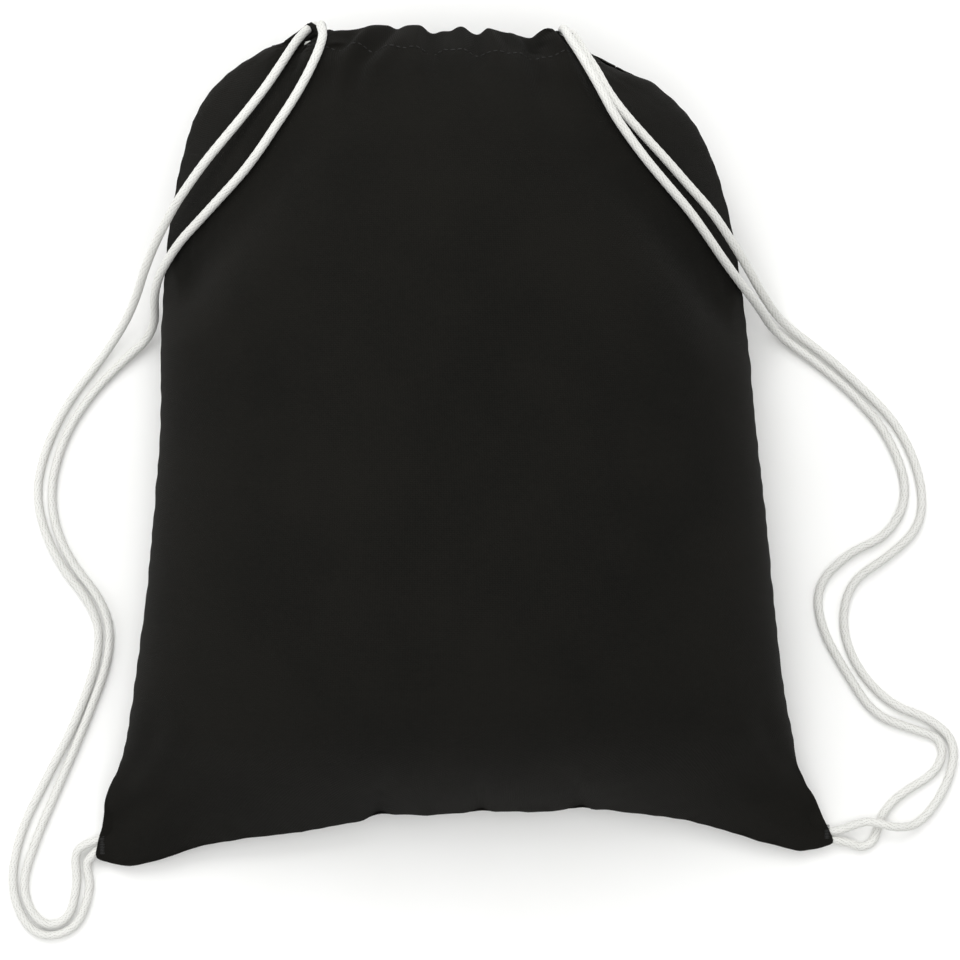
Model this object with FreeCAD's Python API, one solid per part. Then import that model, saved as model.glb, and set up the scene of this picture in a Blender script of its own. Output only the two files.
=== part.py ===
# Cotton drawstring backpack, filled out and laid on its back with the mouth drawn shut.
#
# Frame: +Z up out of the surface that the bag lies on, +Y from the bottom seam to the mouth,
# +X to the right for someone who looks down on the bag with the mouth at the top. Left and right
# in names are that way too. The origin is under the middle of the bag, on that surface. All
# sizes are millimetres.
#
# Two cotton panels are joined by a seam round both sides and the bottom. Each panel's top edge
# is turned down and stitched as a channel (a hem). Two cords run right round the mouth inside
# both channels: the left cord leaves both channels at the left and turns back at the right, and
# the right cord does the opposite. Both ends of each cord are sewn into a bottom corner, so the
# doubled cord is a shoulder strap. The front channel can be lifted to open the mouth.

import FreeCAD
import Part
import math
import os

Vector = FreeCAD.Vector

# Cloth and cord
cloth = 1.2                  # wall that stands for the cotton and its turnings
cord_diameter = 4.2
cord_radius = cord_diameter / 2
gap = 0.4                    # between the lifting channel and what it leaves behind
edge_overrun = 2.0           # how far a channel is drawn out before its edges are cut to shape
corner_share = 0.45          # of the shorter straight run beside a corner that its arc takes up

# Channel round the mouth
mouth_centre_x = -10.0
mouth_half_width = 51.0      # the gathered channel, from its middle to where the cords come out
channel_thickness = 9.0      # outer layer to inner layer, over the cords
lip_y = 195.0                # folded edge of both channels
front_lip_z = (51.4, 59.0)   # height of the folded edge at its ends and in its middle
back_lip_z = (32.6, 31.0)
front_stitch_z = (54.0, 84.0)     # the same for the line of stitches that closes the channel
back_stitch_z = (30.0, 12.0)
cord_from_lip = (4.0, 8.7)   # left cord and right cord, measured down the channel

# The mouth opens by turning the front channel about a crease across the bag
hinge_y = 95.0
hinge_z = 42.0
stitch_radius = 88.0         # crease to the front line of stitches
mouth_end = (-120, 120, 140, 230, -20, 140)    # x, y and z of a block round the mouth

# Section of a panel: part of a circle, stretched to the width and height of the bag there
edge_angle = math.radians(72)
floor_flatness = 0.5         # below 1 the underside is flatter than the top
under_floor = 4.0            # depth that is cut away to leave the flat face the bag rests on
across = [-1, -0.86, -0.6, -0.3, 0, 0.3, 0.6, 0.86, 1]

# Rows of control points, from the bottom seam to the line of stitches under the mouth:
# left seam x, y, right seam x, y, rise of the row's middle towards the mouth, seam height at
# the sides, seam height in the middle, height of the front above the seam, share of that
# height's full depth that the back goes down to the floor.
rows = [
    (-176, -195,  176, -190, 19,  4, 26,  0, 0.00),
    (-172, -176,  170, -172, 15, 11, 24, 42, 0.55),
    (-160, -150,  154, -149,  8, 21, 28, 74, 1.00),
    (-154, -108,  149, -109,  3, 30, 32, 84, 1.00),
    (-146,  -56,  142,  -57,  0, 35, 35, 83, 1.00),
    (-141,    0,  136,   -2,  0, 37, 37, 82, 1.00),
    (-142,   52,  133,   50,  0, 38, 38, 80, 1.00),
    (-140,   95,  128,   92,  0, 39, 39, 76, 1.00),
    (-133,  130,  119,  128,  0, 40, 40, 69, 1.00),
    (-126,  163,  106,  161,  0, 41, 41, 54, 0.92),
    (-100,  183,   72,  180,  0, 42, 42, 38, 0.70),
    (-66,   189,   46,  188, -3, 42, 42, 20, 0.50),
]

seam_allowance = 9.0
seam_allowance_half = 0.5
bottom_seam_share = 0.5      # of the way to the next row of control points

bartack_length = 9.0
bartack_width = 2.6
bartack_height = 2.0
bartack_inset = 3.0
bartack_reach = 40.0         # tall enough to pass through the slope of the front panel

strand_gap = 2.4             # between a cord's run in its channel and its free strand
bight_gap = 1.2              # and between the run and the half turn at its other end

stitch_count = 26
stitched_share = 0.94        # of the channel's length
stitch_length = 2.6
stitch_thread = 0.6
stitch_past_line = 1.6       # from the line where the channel starts to its stitches

# Free cords, chosen by hand: out of the channel, over the shoulder of the bag, down its side
# and along the surface it lies on to the bottom corner.
left_outer_route = [
    (-75, 193.5, 41), (-85.5, 185, 59), (-90, 168, 76), (-103, 144, 78), (-119.5, 122.5, 69),
    (-136, 104, 56), (-149, 85.5, 36), (-158, 63, 13), (-173, 41.5, 3), (-190.5, 20.5, 2.3),
    (-202.5, -4, 2.3), (-206, -27, 2.3), (-196.5, -54.5, 2.3), (-176, -79, 2.3),
    (-174.3, -99.5, 2.3), (-185.8, -132, 2.3), (-199.3, -158, 2.3), (-213.3, -186, 2.3),
    (-217.5, -214, 2.3), (-206, -235.5, 2.3), (-186, -232.5, 2.3), (-178.3, -212, 2.3),
    (-180.8, -201, 3), (-180.2, -194.8, 4.4)]
left_inner_route = [
    (-66.5, 190.5, 49.5), (-69.8, 189, 60), (-72.5, 176.5, 80), (-82, 156, 86), (-97, 133.5, 83.5),
    (-116, 112.5, 73), (-134, 94.5, 56), (-146.5, 74.5, 34), (-147, 54, 7), (-163.5, 40, 2.4),
    (-179.5, 23.5, 2.3), (-193, 2.5, 2.3), (-199.3, -25, 2.3), (-191.5, -52, 2.3),
    (-170.8, -77, 2.3), (-169, -100, 2.3), (-181, -132, 2.3), (-192, -158, 2.3), (-205, -188, 2.3),
    (-212.5, -212, 2.3), (-203, -230, 2.3), (-189.2, -227.5, 2.3), (-184.8, -209, 2.3),
    (-186.6, -194, 3.4), (-180.2, -189, 5.4)]
right_outer_route = [
    (50, 185.3, 37.5), (57.5, 189.8, 48), (64.5, 176, 73), (76, 152.5, 81), (93.5, 132.5, 76),
    (111.5, 111, 65), (128, 88, 51), (140.3, 70, 26), (151, 58.5, 4), (171.5, 43.5, 2.4),
    (187, 30, 2.3), (207, 10, 2.3), (218, -15, 2.3), (218.5, -38, 2.3), (203, -53, 2.3),
    (184, -65, 2.3), (179.5, -86, 2.3), (187.2, -107, 2.3), (203.8, -124.5, 2.3),
    (222, -130.3, 2.3), (235, -142, 2.3), (231, -162, 2.3), (218, -181, 2.3), (205.5, -182.5, 8.4),
    (193, -178.6, 8.4), (185.5, -181, 5), (179.8, -184.3, 6)]
right_inner_route = [
    (46.8, 186.3, 51), (52.3, 184, 63), (60.5, 168, 78.5), (72, 148, 82.5), (90, 123, 79),
    (108.5, 101.5, 69), (125.3, 81, 55), (138, 65, 30.5), (147.5, 54, 5), (167, 40, 2.4),
    (184, 26, 2.3), (202, 6, 2.3), (212.5, -22, 2.3), (203, -43, 2.3), (183, -51.5, 2.3),
    (167.8, -67, 2.3), (169.8, -87, 2.3), (182.2, -109, 2.3), (195.5, -129, 2.3),
    (213.7, -135.5, 2.3), (229, -140.5, 2.3), (226.5, -156, 2.3), (207, -167, 2.3),
    (198, -178, 2.3), (196, -189, 2.3), (189.5, -192.5, 2.3), (186, -188, 3.4),
    (180.2, -189.3, 4.4)]


def clamped_knots(pole_count, degree):
    """Knots and multiplicities of a clamped, evenly spaced B-spline."""
    inner = pole_count - degree - 1
    knots = [float(k) for k in range(inner + 2)]
    return knots, [degree + 1] + [1] * inner + [degree + 1]


def patch(poles):
    """Face on a B-spline surface, cubic where there are four or more control points."""
    u_degree = min(3, len(poles) - 1)
    v_degree = min(3, len(poles[0]) - 1)
    u_knots, u_mults = clamped_knots(len(poles), u_degree)
    v_knots, v_mults = clamped_knots(len(poles[0]), v_degree)
    surface = Part.BSplineSurface()
    surface.buildFromPolesMultsKnots(
        poles, u_mults, v_mults, u_knots, v_knots, False, False, u_degree, v_degree)
    return surface.toShape()


def slab(outer, inner):
    """Closed solid between two grids of control points of the same size."""
    last = len(outer) - 1
    faces = [patch(outer), patch(inner)]
    faces.append(patch([outer[0], inner[0]]))
    faces.append(patch([outer[last], inner[last]]))
    for column in (0, len(outer[0]) - 1):
        faces.append(patch([[row[column] for row in outer], [row[column] for row in inner]]))
    shell = Part.makeShell(faces)
    shell.sewShape()
    solid = Part.makeSolid(shell)
    if solid.Volume < 0:
        solid.reverse()
    return solid


def section(u):
    """Share of the half width and of the height that a point of a panel's section has."""
    angle = u * edge_angle
    flat = math.cos(edge_angle)
    return math.sin(angle) / math.sin(edge_angle), (math.cos(angle) - flat) / (1 - flat)


def seam_row(index):
    """A row's control points at the height of the seams, as if the bag were empty."""
    left_x, left_y, right_x, right_y, rise, side_z, middle_z = rows[index][:7]
    points = []
    for u in across:
        wide = section(u)[0]
        share = (1 + wide) / 2
        bulge = 1 - wide * wide
        x = left_x + (right_x - left_x) * share
        y = left_y + (right_y - left_y) * share + rise * bulge
        points.append(Vector(x, y, side_z + (middle_z - side_z) * bulge))
    return points


def panel_grid(front, inset):
    """Control points of the outside of a panel, or of a surface inset from it."""
    grid = []
    for index, row in enumerate(rows):
        left_x, left_y, right_x, right_y, rise, side_z, middle_z, height, depth_share = row
        left_x += inset
        right_x -= inset
        bottom_inset = inset * max(0, 1 - index / 2)
        points = []
        for u in across:
            wide, high = section(u)
            share = (1 + wide) / 2
            bulge = 1 - wide * wide
            x = left_x + (right_x - left_x) * share
            y = left_y + (right_y - left_y) * share + rise * bulge + bottom_inset
            seam_z = side_z + (middle_z - side_z) * bulge
            if front:
                z = seam_z + max(0, height - inset * min(index, 1)) * high
            else:
                full_depth = seam_z + under_floor
                z = seam_z - depth_share * full_depth * high ** floor_flatness
                if inset and index:
                    z = max(z, 0) + inset * min(1, 3 * high)
            points.append(Vector(x, y, z))
        grid.append(points)
    return grid


def largest(shape):
    return max(shape.Solids, key=lambda solid: solid.Volume)


def block(x0, x1, y0, y1, z0, z1):
    return Part.makeBox(x1 - x0, y1 - y0, z1 - z0, Vector(x0, y0, z0))


def beyond_crease(radius):
    """Everything at the mouth end that is further than radius from the crease."""
    x0, x1 = mouth_end[:2]
    roller = Part.makeCylinder(radius, x1 - x0 + 20, Vector(x0 - 10, hinge_y, hinge_z),
                               Vector(1, 0, 0))
    return block(*mouth_end).cut(roller)


def make_front_panel():
    whole = slab(panel_grid(True, 0), panel_grid(True, cloth))
    return whole.cut(beyond_crease(stitch_radius - gap))


def make_back_panel():
    whole = slab(panel_grid(False, 0), panel_grid(False, cloth))
    return whole.cut(block(-250, 250, -250, 250, -30, 0)).cut(beyond_crease(stitch_radius))


def at_middle(end_and_middle, u):
    """Value at u that bows from its end value to its middle value."""
    end, middle = end_and_middle
    return end + (middle - end) * (1 - u * u)


def channel_section(front, u):
    """Stitch line and folded lip of a channel at u, and unit vectors to the lip and inwards."""
    lip = Vector(0, lip_y, at_middle(front_lip_z if front else back_lip_z, u))
    stitch_z = at_middle(front_stitch_z if front else back_stitch_z, u)
    above = stitch_z - hinge_z
    stitch = Vector(0, hinge_y + math.sqrt(stitch_radius ** 2 - above ** 2), stitch_z)
    along = (lip - stitch).normalize()
    inward = Vector(0, along.z, -along.y) if front else Vector(0, -along.z, along.y)
    return stitch, lip, along, inward


def channel_grid(front, depth, reach, trim):
    """Control points of a layer of a channel, reach past its ends and trim short of its edges."""
    grid = []
    for u in (-1, -0.66, -0.33, 0, 0.33, 0.66, 1):
        stitch, lip, along, inward = channel_section(front, u)
        x = mouth_centre_x + u * (mouth_half_width + reach)
        start = stitch + along * trim
        end = lip - along * trim
        points = []
        for share in (0, 0.33, 0.67, 1):
            point = start + (end - start) * share + inward * depth
            points.append(Vector(x, point.y, point.z))
        grid.append(points)
    return grid


def make_channel(front):
    """Flattened tube of cloth, open at both ends for the cords."""
    tube = slab(channel_grid(front, 0, 0, -edge_overrun),
                channel_grid(front, channel_thickness, 0, -edge_overrun))
    inside = slab(channel_grid(front, cloth, 2 * edge_overrun, cloth),
                  channel_grid(front, channel_thickness - cloth, 2 * edge_overrun, cloth))
    x0, x1, y0, y1, z0, z1 = mouth_end
    past_lip = block(x0, x1, lip_y, y1, z0, z1)
    return largest(tube.cut(inside).common(beyond_crease(stitch_radius)).cut(past_lip))


def channel_point(front, from_lip, u):
    """Centre of a cord in a channel."""
    lip, along, inward = channel_section(front, u)[1:]
    point = lip - along * from_lip + inward * (channel_thickness / 2)
    return Vector(mouth_centre_x + u * mouth_half_width, point.y, point.z)


def rounded_route(points):
    """Straight runs joined by tangent arcs, each as large as its two runs allow."""
    edges = []
    start = points[0]
    radii = []
    for before, corner, after in zip(points, points[1:], points[2:]):
        back = before - corner
        ahead = after - corner
        run = min(back.Length, ahead.Length)
        back.normalize()
        ahead.normalize()
        turn = math.pi - back.getAngle(ahead)
        reach = corner_share * run
        radius = reach / math.tan(turn / 2)
        radii.append(radius)
        first = corner + back * reach
        last = corner + ahead * reach
        bisector = (back + ahead).normalize()
        to_centre = radius / math.cos(turn / 2)
        middle = corner + bisector * (to_centre - radius)
        edges.append(Part.LineSegment(start, first).toShape())
        edges.append(Part.Arc(first, middle, last).toShape())
        start = last
    edges.append(Part.LineSegment(start, points[-1]).toShape())
    print("radii", [round(radius) for radius in radii],
          "length %.1f" % sum(edge.Length for edge in edges))
    return Part.Wire(edges)


def tube_along(path):
    """Round cord along a wire, checked against its section times its length."""
    edge = path.OrderedEdges[0]
    start = edge.valueAt(edge.FirstParameter)
    direction = edge.tangentAt(edge.FirstParameter)
    disc = Part.Face(Part.Wire(Part.makeCircle(cord_radius, start, direction)))
    solid = path.makePipe(disc)
    expected = math.pi * cord_radius ** 2 * path.Length
    if abs(solid.Volume / expected - 1) > 0.01:
        print("tube volume is off:", solid.Volume / expected)
    return solid


def channel_run(front, from_lip):
    """Cord inside a channel: one flat arc from end to end."""
    left, middle, right = [channel_point(front, from_lip, u) for u in (-1, 0, 1)]
    return tube_along(Part.Wire([Part.Arc(left, middle, right).toShape()]))


def make_bight(side, from_lip):
    """Half turn of a cord round the end of the mouth, from the front channel to the back."""
    top = channel_point(True, from_lip, side)
    bottom = channel_point(False, from_lip, side)
    middle = (top + bottom) / 2 + Vector(side * (top - bottom).Length / 2, 0, 0)
    step = Vector(side * bight_gap, 0, 0)
    return tube_along(Part.Wire([Part.Arc(top + step, middle + step, bottom + step).toShape()]))


def free_strand(start_side, front, from_lip, route):
    """Cord from the end of its channel to the bottom corner."""
    start = channel_point(front, from_lip, start_side) + Vector(start_side * strand_gap, 0, 0)
    return tube_along(rounded_route([start] + [Vector(*point) for point in route]))


def seam_point(row, side):
    """End of a row of control points on the left (-1) or right (1) side seam."""
    x, y = (row[0], row[1]) if side < 0 else (row[2], row[3])
    return Vector(x, y, row[5])


def make_side_seam(side, panels):
    """Turned-in edges of both panels along a side seam, bound together."""
    layers = []
    for lift in (-seam_allowance_half, seam_allowance_half):
        grid = []
        for row in rows[1:]:
            edge = seam_point(row, side) + Vector(0, 0, lift)
            grid.append([edge, edge - Vector(side * seam_allowance, 0, 0)])
        layers.append(grid)
    strip = slab(*layers).cut(beyond_crease(stitch_radius - gap))
    return largest(strip.cut(panels[0]).cut(panels[1]))


def make_bottom_seam(panels):
    """Turned-in edges of both panels along the bottom seam, bound together."""
    edge, next_row = [seam_row(index) for index in (0, 1)]
    layers = []
    for lift in (-seam_allowance_half, seam_allowance_half):
        raised = Vector(0, 0, lift)
        inner = [a + (b - a) * bottom_seam_share for a, b in zip(edge, next_row)]
        layers.append([[point + raised for point in edge], [point + raised for point in inner]])
    return largest(slab(*layers).cut(panels[0]).cut(panels[1]))


def make_bartack(side, front_panel):
    """Dense stitches over the side seam at a bottom corner, where the cord ends are caught."""
    corner = seam_point(rows[0], side)
    x = corner.x - side * bartack_inset
    y = corner.y + bartack_inset
    footprint = block(x - bartack_width / 2, x + bartack_width / 2, y, y + bartack_length,
                      corner.z, corner.z + bartack_reach)
    raised = front_panel.translated(Vector(0, 0, bartack_height))
    return largest(raised.common(footprint).cut(front_panel))


def make_stitches(front):
    """Row of stitches that closes a channel, lying on its outer layer."""
    stitches = []
    for number in range(stitch_count):
        u = stitched_share * (2 * (number + 0.5) / stitch_count - 1)
        line, lip, along, inward = channel_section(front, u)
        centre = line + along * stitch_past_line - inward * stitch_thread
        x = mouth_centre_x + u * mouth_half_width - stitch_length / 2
        stitches.append(Part.makeCylinder(stitch_thread / 2, stitch_length,
                                          Vector(x, centre.y, centre.z), Vector(1, 0, 0)))
    return Part.makeCompound(stitches)


def export(solid, name):
    if not solid.isValid() or not solid.Solids:
        print(name, "valid:", solid.isValid(), "solids:", len(solid.Solids))
    solid.exportStep(os.path.join("parts", name + ".step"))
    box = solid.BoundBox
    print("%-28s %8.0f mm3  x %.1f %.1f  y %.1f %.1f  z %.1f %.1f" % (
        name, solid.Volume, box.XMin, box.XMax, box.YMin, box.YMax, box.ZMin, box.ZMax))


def main():
    os.makedirs("parts", exist_ok=True)
    panels = [make_front_panel(), make_back_panel()]
    export(panels[0], "front_panel")
    export(panels[1], "back_panel")
    export(make_bottom_seam(panels), "bottom_seam")
    for side, name in ((-1, "left"), (1, "right")):
        export(make_side_seam(side, panels), name + "_side_seam")
        export(make_bartack(side, panels[0]), name + "_corner_bartack")
    for front, name in ((True, "front"), (False, "back")):
        export(make_channel(front), name + "_hem")
        export(make_stitches(front), name + "_hem_stitching")
    cords = (("left", -1, cord_from_lip[0], left_inner_route, left_outer_route),
             ("right", 1, cord_from_lip[1], right_inner_route, right_outer_route))
    for name, side, from_lip, inner_route, outer_route in cords:
        export(channel_run(True, from_lip), name + "_cord_front_run")
        export(channel_run(False, from_lip), name + "_cord_back_run")
        export(make_bight(-side, from_lip), name + "_cord_bight")
        export(free_strand(side, True, from_lip, inner_route), name + "_inner_strand")
        export(free_strand(side, False, from_lip, outer_route), name + "_outer_strand")


main()
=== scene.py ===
import bpy
import bmesh
import math
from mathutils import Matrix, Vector, noise
from mathutils.bvhtree import BVHTree
from mathutils.kdtree import KDTree


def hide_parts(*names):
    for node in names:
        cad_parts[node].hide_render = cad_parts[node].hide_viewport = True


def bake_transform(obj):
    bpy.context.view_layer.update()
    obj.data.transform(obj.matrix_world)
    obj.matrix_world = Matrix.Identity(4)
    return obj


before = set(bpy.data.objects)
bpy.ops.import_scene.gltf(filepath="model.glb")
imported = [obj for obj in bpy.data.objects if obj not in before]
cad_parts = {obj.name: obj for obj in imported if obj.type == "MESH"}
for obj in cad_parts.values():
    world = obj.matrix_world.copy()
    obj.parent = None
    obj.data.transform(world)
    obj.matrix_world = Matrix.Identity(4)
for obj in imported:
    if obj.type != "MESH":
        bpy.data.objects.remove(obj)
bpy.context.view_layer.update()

mm = 0.001               # sizes and lists of points below are in millimetres


def linearColour(hexText):
    # linear RGBA of an sRGB colour
    channels = [int(hexText[i:i + 2], 16) / 255 for i in (1, 3, 5)]
    bent = [c / 12.92 if c <= 0.04045 else ((c + 0.055) / 1.055) ** 2.4 for c in channels]
    return (*bent, 1)


def addNode(material, kind, settings=None, links=None, **fields):
    # one shader node: settings are socket values, links are what its sockets are fed from
    node = material.node_tree.nodes.new(kind)
    for name, value in fields.items():
        setattr(node, name, value)
    for socket, value in (settings or {}).items():
        node.inputs[socket].default_value = value
    for socket, source in (links or {}).items():
        material.node_tree.links.new(source, node.inputs[socket])
    return node


def spreadAlong(points, count):
    # count points at even steps along a line of points
    reach = [0.0]
    for a, b in zip(points, points[1:]):
        reach.append(reach[-1] + (b - a).length)
    spread = []
    step = 0
    for i in range(count):
        want = reach[-1] * i / (count - 1)
        while step < len(points) - 2 and reach[step + 1] < want:
            step += 1
        span = reach[step + 1] - reach[step]
        spread.append(points[step].lerp(points[step + 1], (want - reach[step]) / span if span else 0))
    return spread


def smoothLine(points):
    # the line of one open NURBS spline with these control points
    curve = bpy.data.curves.new("line", "CURVE")
    curve.dimensions = "3D"
    curve.resolution_u = 24
    spline = curve.splines.new("NURBS")
    spline.points.add(len(points) - 1)
    for place, point in zip(spline.points, points):
        place.co = (point[0], point[1], point[2], 1)
    spline.order_u = 3
    spline.use_endpoint_u = True
    holder = bpy.data.objects.new("line", curve)
    mesh = bpy.data.meshes.new_from_object(holder)
    line = [v.co.copy() for v in mesh.vertices]
    bpy.data.objects.remove(holder)
    bpy.data.curves.remove(curve)
    bpy.data.meshes.remove(mesh)
    return line


def finishMesh(name, bm, material):
    # one finished piece of a bmesh
    mesh = bpy.data.meshes.new(name)
    bm.to_mesh(mesh)
    bm.free()
    for face in mesh.polygons:
        face.use_smooth = True
    mesh.materials.append(material)
    piece = bpy.data.objects.new(name, mesh)
    bpy.context.scene.collection.objects.link(piece)
    return piece


def followLip(piece):
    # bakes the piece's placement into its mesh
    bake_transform(piece)


camera = dict(x=7.2, y=-16.6, height=1600, lens=125.4)      # looks straight down


def setCamera():
    data = bpy.data.cameras.new("camera")
    data.lens = camera["lens"]
    data.sensor_width = 36
    data.clip_end = 10
    eye = bpy.data.objects.new("camera", data)
    eye.location = (camera["x"] * mm, camera["y"] * mm, camera["height"] * mm)
    bpy.context.scene.collection.objects.link(eye)
    bpy.context.scene.camera = eye


setCamera()
print("camera is set")


cord = dict(
    diameter=4.2,
    carriers=8,          # yarns that wind each way
    pitch=2.1,           # length of cord that one yarn covers as it passes over
    relief=0.24,         # how far the yarns stand out of the valleys between them
    around=32,
    ring=0.5,            # length of cord between rings of vertices
    sunk=0.3,            # how far a cord that lies on the cloth presses into it
    clear=0.5,           # and the least space between the cloth and a cord beside it
    startShift=0.15,     # of the way from the end of a run to the end of its channel
    colour="#dadad6",
    # painted shade: the grey that the valleys between the yarns are given
    valley="#96958f",
)

strandRoutes = {
    "left_outer": [
        (-66.5, 193.8, 39), (-70, 195.4, 44), (-74.6, 190.8, 49.5), (-78, 185.8, 55.3),
        (-84.2, 172.6, 71.9), (-91.3, 161.2, 76.6), (-99.9, 150.2, 77), (-109.1, 139.4, 75.8),
        (-118.5, 128.8, 72), (-126.8, 118.3, 66.8), (-135, 107.6, 59.5), (-148.2, 86.5, 37),
        (-158, 63, 13), (-173, 41.5, 3), (-190, 20.5, 2.3), (-201.5, -4, 2.3), (-205.3, -27, 2.3),
        (-196, -54.5, 2.3), (-175.8, -79, 2.3), (-174.3, -99.5, 2.3), (-185.8, -132, 2.3),
        (-199.3, -158, 2.3), (-213.3, -186, 2.3), (-217.5, -214, 2.3), (-206, -235.5, 2.3),
        (-186, -232.5, 2.3), (-178.3, -212, 2.3), (-180.8, -201, 3), (-179.5, -196.8, 4.2),
        (-172, -190.4, 5.2)],
    "left_inner": [
        (-65.6, 193.6, 49.5), (-66.8, 194.2, 56), (-64.7, 188.6, 64), (-65.6, 182.5, 72),
        (-67.2, 176.5, 79.2), (-71.8, 165.8, 83.6), (-78, 154.6, 86), (-85.3, 143.9, 85.2),
        (-92.6, 133.1, 83.6), (-101.1, 122.7, 78.6), (-111.6, 112.2, 73), (-122.4, 102, 63.6),
        (-133.5, 91.7, 53.2), (-146, 74.5, 33), (-147, 54, 7), (-163.5, 40, 2.4),
        (-179.5, 23.5, 2.3), (-192.5, 2.5, 2.3), (-199, -25, 2.3), (-191.5, -52, 2.3),
        (-170.8, -77, 2.3), (-169, -100, 2.3), (-181, -132, 2.3), (-192, -158, 2.3),
        (-205, -188, 2.3), (-212.5, -212, 2.3), (-203, -230, 2.3), (-189.2, -227.5, 2.3),
        (-184.8, -209, 2.3), (-186.6, -195, 3.4), (-180.6, -189.6, 5.2), (-171.2, -187.2, 6)],
    "right_outer": [
        (46.8, 189.6, 37.5), (49.8, 191.4, 46), (51.5, 187.2, 57), (54.9, 179.6, 67.3),
        (60.6, 170, 74.5), (64.9, 161, 78.4), (72.2, 150.8, 79.4), (82.8, 139.2, 77.4),
        (93.1, 128.6, 74), (102.8, 118.1, 69), (113.2, 107.5, 63.4), (121.2, 97, 57),
        (131, 83.5, 43), (140.5, 70, 25.5), (151, 58.5, 4.5), (171.5, 43.5, 2.4), (187, 30, 2.3),
        (207, 10, 2.3), (218, -15, 2.3), (218.5, -38, 2.3), (203, -53, 2.3), (184, -65, 2.3),
        (179.5, -86, 2.3), (187.2, -107, 2.3), (203.8, -124.5, 2.3), (222, -130.3, 2.3),
        (235, -142, 2.3), (231, -162, 2.3), (218, -181, 2.3), (205.5, -182.5, 8.4),
        (193, -178.6, 8.4), (185.5, -181, 5.4), (178.6, -183.9, 5.6), (170.6, -184.6, 6)],
    "right_inner": [
        (44.8, 190, 50.5), (45.6, 192.6, 57), (48, 186.5, 67), (52, 179, 77.4), (57, 169.5, 83.6),
        (62.5, 159.3, 86.2), (67.7, 149.2, 86.4), (75.2, 138.5, 84.4), (83.5, 127.9, 81.6),
        (92.9, 117.4, 77.4), (102.7, 106.8, 72.2), (110.9, 96.3, 66.2), (118.8, 85.8, 58.8),
        (127.5, 75.5, 48.5), (138.2, 64.5, 29.5), (147.5, 54, 5), (167, 40, 2.4), (184, 26, 2.3),
        (202, 6, 2.3), (212.5, -22, 2.3), (203, -43, 2.3), (183, -51.5, 2.3), (167.8, -67, 2.3),
        (169.8, -87, 2.3), (182.2, -109, 2.3), (195.5, -129, 2.3), (213.7, -135.5, 2.3),
        (229, -140.5, 2.3), (226.5, -156, 2.3), (207, -167, 2.3), (198, -178, 2.3),
        (196, -189, 2.3), (189.5, -192.5, 2.3), (184.6, -190.2, 3.4), (179.5, -188.8, 4.4),
        (171, -187.6, 5)],
}


def cordMaterial():
    # Braided cotton cord: matte and white, with painted shade in the valleys between its yarns,
    # with the fine fibre of spun cotton along each yarn.
    material = bpy.data.materials.new("braidedCottonCord")
    material.use_nodes = True
    shader = material.node_tree.nodes["Principled BSDF"]
    shader.inputs["Roughness"].default_value = 0.85
    shader.inputs["Sheen Weight"].default_value = 0.25
    shader.inputs["Sheen Roughness"].default_value = 0.5
    height = addNode(material, "ShaderNodeAttribute", attribute_name="yarnHeight")
    # painted shade: the ramp turns the cord grey where the yarns sink into the valleys between them
    ramp = addNode(material, "ShaderNodeValToRGB", links={"Fac": height.outputs["Fac"]})
    ramp.color_ramp.elements[0].color = linearColour(cord["valley"])
    ramp.color_ramp.elements[1].color = linearColour(cord["colour"])
    ramp.color_ramp.elements[1].position = 0.55
    place = addNode(material, "ShaderNodeTexCoord")
    fibre = addNode(material, "ShaderNodeTexNoise", {"Scale": 2600, "Detail": 3},
                    {"Vector": place.outputs["Object"]})       # fibres about 0.4 mm apart
    bump = addNode(material, "ShaderNodeBump", {"Strength": 0.35, "Distance": 0.0002},
                   {"Height": fibre.outputs["Fac"]})
    links = material.node_tree.links
    links.new(ramp.outputs["Color"], shader.inputs["Base Color"])
    links.new(bump.outputs["Normal"], shader.inputs["Normal"])
    return material


def yarnHeight(around, along):
    # 0 in the valleys to 1 on a yarn, for a braid whose yarns pass over one and under one
    a = around + along
    b = around - along
    across = a - math.floor(a) - 0.5
    other = b - math.floor(b) - 0.5
    if (math.floor(a) + math.floor(b)) % 2:
        across, other = other, across
    return math.cos(math.pi * across) ** 0.7 * (1 - 1.2 * other * other)


def braid(name, line, material):
    # a braided cord along a line: the piece, its length and its evenly spaced line
    length = sum((b - a).length for a, b in zip(line, line[1:]))
    rings = int(length / (cord["ring"] * mm))
    line = spreadAlong(line, rings + 1)
    frames = []
    side = Vector((0, 0, 1))
    for i, point in enumerate(line):
        ahead = (line[min(i + 1, rings)] - line[max(i - 1, 0)]).normalized()
        side = (side - ahead * side.dot(ahead)).normalized()
        frames.append((point, side.copy(), ahead.cross(side)))
    bm = bmesh.new()
    bmesh.ops.create_grid(bm, x_segments=rings, y_segments=cord["around"], size=0.5)
    radius = (cord["diameter"] / 2 - cord["relief"]) * mm
    layer = bm.verts.layers.float.new("yarnHeight")
    for v in bm.verts:
        i = round((v.co.x + 0.5) * rings)
        turn = v.co.y + 0.5
        high = yarnHeight(turn * cord["carriers"], i * cord["ring"] / cord["pitch"] / 2)
        point, up, out = frames[i]
        r = radius + high * cord["relief"] * mm
        angle = turn * 2 * math.pi
        v[layer] = high
        v.co = point + up * r * math.cos(angle) + out * r * math.sin(angle)
    bmesh.ops.remove_doubles(bm, verts=bm.verts, dist=1e-6)
    bmesh.ops.holes_fill(bm, edges=[e for e in bm.edges if e.is_boundary])
    bmesh.ops.recalc_face_normals(bm, faces=bm.faces)
    return finishMesh(name, bm, material), length, line


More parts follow.
